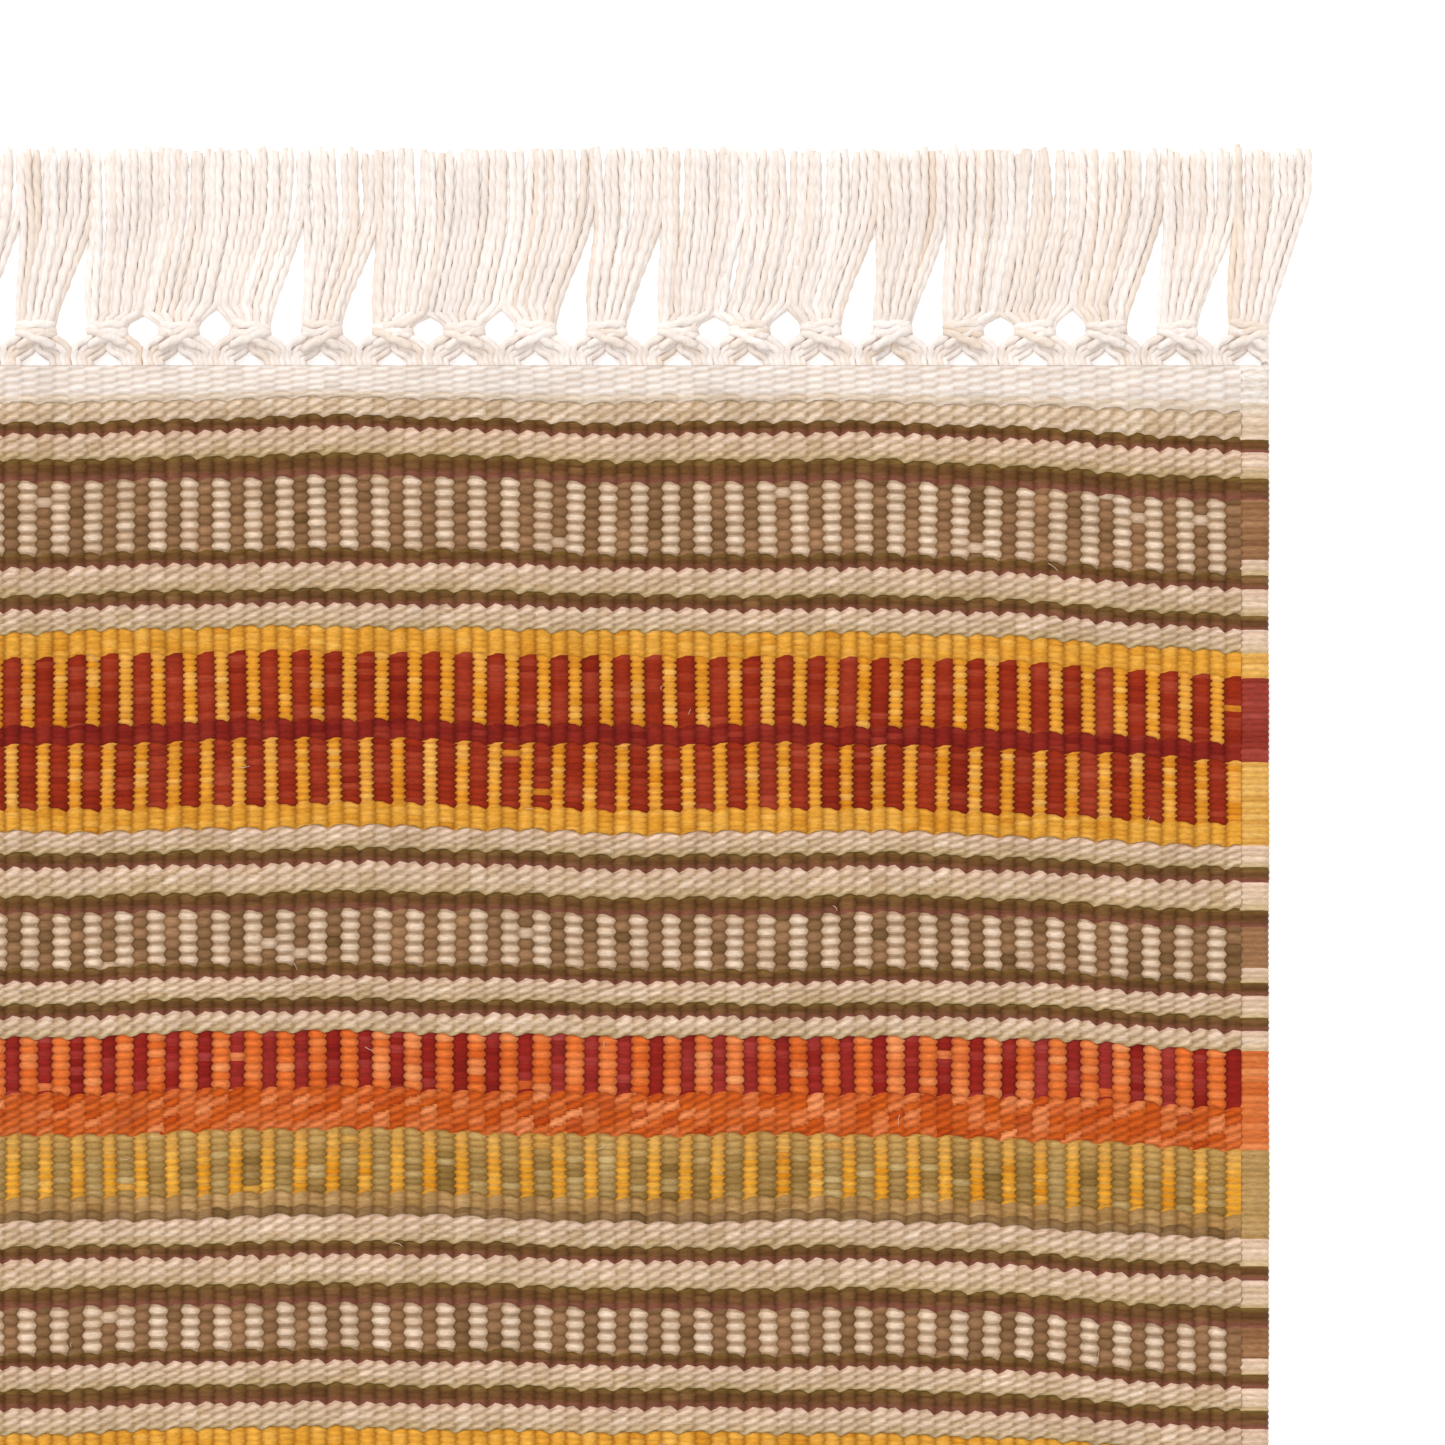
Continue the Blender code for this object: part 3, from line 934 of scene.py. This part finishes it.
def unevenness(material, fibre, place, streaks):
    """A factor near 1: streaks along the fibres, times broad patches of uneven dye."""
    links = material.node_tree.links
    patch = add_node(material, "ShaderNodeTexNoise", Scale=55.0, Detail=2.0)
    links.new(place, patch.inputs["Vector"])
    streak = add_node(material, "ShaderNodeMapRange", From_Min=0.3, From_Max=0.7,
                      To_Min=1 - streaks, To_Max=1 + streaks)
    links.new(fibre, streak.inputs["Value"])
    dye = add_node(material, "ShaderNodeMapRange", From_Min=0.3, From_Max=0.7, To_Min=0.94, To_Max=1.06)
    links.new(patch.outputs["Fac"], dye.inputs["Value"])
    strength = add_node(material, "ShaderNodeMath")
    strength.operation = "MULTIPLY"
    links.new(streak.outputs["Result"], strength.inputs[0])
    links.new(dye.outputs["Result"], strength.inputs[1])
    return strength.outputs["Value"]


def read_attribute(material, name):
    node = add_node(material, "ShaderNodeAttribute")
    node.attribute_name = name
    return node


def yarn_colour(material, painted_hollow_shade, strength):
    """The face's own yarn colour with painted shade, tinted darker and warmer in the hollows by the shade
    attribute and a little lighter on the crests, and scaled by strength.
    """
    links = material.node_tree.links
    # The painted shade: the hollow tint at shade 0, a touch over white as a painted highlight at shade 1.
    depth = add_node(material, "ShaderNodeMix")
    depth.data_type = "RGBA"
    depth.inputs["A"].default_value = (*painted_hollow_shade, 1)
    depth.inputs["B"].default_value = (1.05, 1.05, 1.05, 1)
    links.new(read_attribute(material, "shade").outputs["Fac"], depth.inputs["Factor"])
    tinted = add_node(material, "ShaderNodeVectorMath")
    tinted.operation = "MULTIPLY"
    links.new(read_attribute(material, "yarn").outputs["Color"], tinted.inputs[0])
    links.new(depth.outputs["Result"], tinted.inputs[1])
    colour = add_node(material, "ShaderNodeVectorMath")
    colour.operation = "SCALE"
    links.new(tinted.outputs["Vector"], colour.inputs["Vector"])
    links.new(strength, colour.inputs["Scale"])
    return colour.outputs["Vector"]


def yarn_material(name, fibre_scale, painted_hollow_shade, streaks, bump_height):
    """Matt yarn: its own colour with painted shade that makes it darker and warmer in the hollows, streaked
    with fibres and uneven dye.
    """
    material = bpy.data.materials.new(name)
    material.use_nodes = True
    links = material.node_tree.links
    shader = material.node_tree.nodes["Principled BSDF"]
    fibre, place = fibre_noise(material, fibre_scale)
    strength = unevenness(material, fibre, place, streaks)
    links.new(yarn_colour(material, painted_hollow_shade, strength), shader.inputs["Base Color"])
    rough = add_node(material, "ShaderNodeMapRange", To_Min=0.85, To_Max=1.0)
    links.new(fibre, rough.inputs["Value"])
    links.new(rough.outputs["Result"], shader.inputs["Roughness"])
    bump = add_node(material, "ShaderNodeBump", Strength=0.6, Distance=bump_height)
    links.new(fibre, bump.inputs["Height"])
    links.new(bump.outputs["Normal"], shader.inputs["Normal"])
    shader.inputs["Specular IOR Level"].default_value = 0.1
    shader.inputs["Sheen Weight"].default_value = 0.03
    shader.inputs["Sheen Roughness"].default_value = 0.6
    return material


WOOL = yarn_material("wool", (420, 1500, 1500), (0.52, 0.44, 0.30), 0.20, 0.25 * MM)
COTTON = yarn_material("cotton", (1500, 380, 1500), (0.90, 0.84, 0.78), 0.06, 0.2 * MM)
HEADING_COTTON = yarn_material("heading_cotton", (420, 1500, 1500), (0.74, 0.66, 0.58), 0.08, 0.2 * MM)


# ---------------------------------------------------------------- the bands
def band_list():
    """(name, low y, high y) of every woven band, near to far; the two halves of the middle one are one."""
    found = {}
    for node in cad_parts:
        if node.startswith(("warps", "selvedge")):
            continue
        low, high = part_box(node)
        name = node if node.startswith("heading") else node.replace("_near", "").replace("_far", "")
        start, stop = found.get(name, (low[1], high[1]))
        found[name] = (min(start, low[1]), max(stop, high[1]))
    spans = [(name, start - HALF_BAND_GAP, stop + HALF_BAND_GAP) for name, (start, stop) in found.items()]
    return sorted(spans, key=lambda span: span[1])


SHORTEST_SHEET = 10 * MM


# Left open on each side of the border between two bands.
SEAM = 0.01 * MM


def build_band(name, low, high, seed):
    piece = woven_sheet("weave_" + name, Rows(stripes_of(name), low + SEAM, high - SEAM), seed)
    piece.data.materials.append(HEADING_COTTON if name.startswith("heading") else WOOL)
    nodes = [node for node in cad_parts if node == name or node.startswith(name + "_")]
    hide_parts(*nodes)
    if low < 0 < high:
        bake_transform(piece)
    else:
        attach(piece, FAR if low > 0 else NEAR)
    return piece


# The band across the fold is two nodes in the CAD, so no one node gives its length.
MIDDLE_BAND_LENGTH = 56.1 * MM


def declare_sheets(bands):
    """Works out how long each band is laid flat; the length is not used."""
    for name, piece in bands.items():
        low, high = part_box(name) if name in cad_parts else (None, None)
        length = MIDDLE_BAND_LENGTH if low is None else high[1] - low[1] + 2 * HALF_BAND_GAP
        length = max(length, SHORTEST_SHEET)


def build_rug():
    bands = {}
    for seed, (name, low, high) in enumerate(band_list()):
        bands[name] = build_band(name, low, high, 100 + seed)
    edges = [build_selvedge(side, word) for side, word in ((-1, "left"), (1, "right"))]
    build_inner_warps()
    build_fibres(1, FAR, "far")
    build_fibres(-1, NEAR, "near")
    fringes = {"far": build_fringe(1, FAR, "far"), "near": build_fringe(-1, NEAR, "near")}
    declare_sheets(bands)


# ---------------------------------------------------------------- floor, light and camera
def build_floor():
    """A pale plane just under the rug that glows a little, so that it comes out white."""
    bpy.ops.mesh.primitive_plane_add(size=14, location=(0, 0, -0.1 * MM))
    floor = bpy.context.object
    floor.name = "floor"
    white = bpy.data.materials.new("floor_white")
    white.use_nodes = True
    shader = white.node_tree.nodes["Principled BSDF"]
    shader.inputs["Base Color"].default_value = (0.93, 0.93, 0.93, 1)
    shader.inputs["Emission Color"].default_value = (1, 1, 1, 1)
    shader.inputs["Emission Strength"].default_value = 0.35
    shader.inputs["Roughness"].default_value = 0.9
    shader.inputs["Specular IOR Level"].default_value = 0.1
    floor.data.materials.append(white)


def build_light():
    """White all round, with one soft sun from the upper left."""
    world = bpy.data.worlds.new("studio")
    bpy.context.scene.world = world
    world.use_nodes = True
    world.node_tree.nodes["Background"].inputs["Color"].default_value = (1, 1, 1, 1)
    world.node_tree.nodes["Background"].inputs["Strength"].default_value = 1.0
    sun = bpy.data.objects.new("key", bpy.data.lights.new("key", "SUN"))
    sun.data.energy = 1.3
    sun.data.angle = math.radians(25)
    sun.rotation_euler = (math.radians(-38), math.radians(-22), 0)
    bpy.context.scene.collection.objects.link(sun)
    bpy.context.scene.view_settings.view_transform = "Standard"


# The photo shows a square of this width; its middle lies this far inside the rug's edge and its woven end.
FRAME_WIDTH = 404.6 * MM
INSIDE_EDGE, INSIDE_END = 153.3 * MM, 100.1 * MM


def build_camera():
    """Straight above the right side of the far end, with a long lens."""
    camera = bpy.data.objects.new("camera", bpy.data.cameras.new("camera"))
    camera.data.lens = 180
    camera.data.sensor_width = 36
    distance = FRAME_WIDTH * camera.data.lens / camera.data.sensor_width
    camera.location = (EDGE_X - INSIDE_EDGE, END_Y - INSIDE_END, THICKNESS + distance)
    camera.data.clip_end = 50
    bpy.context.scene.collection.objects.link(camera)
    bpy.context.scene.camera = camera


build_rug()
build_floor()
build_light()
build_camera()
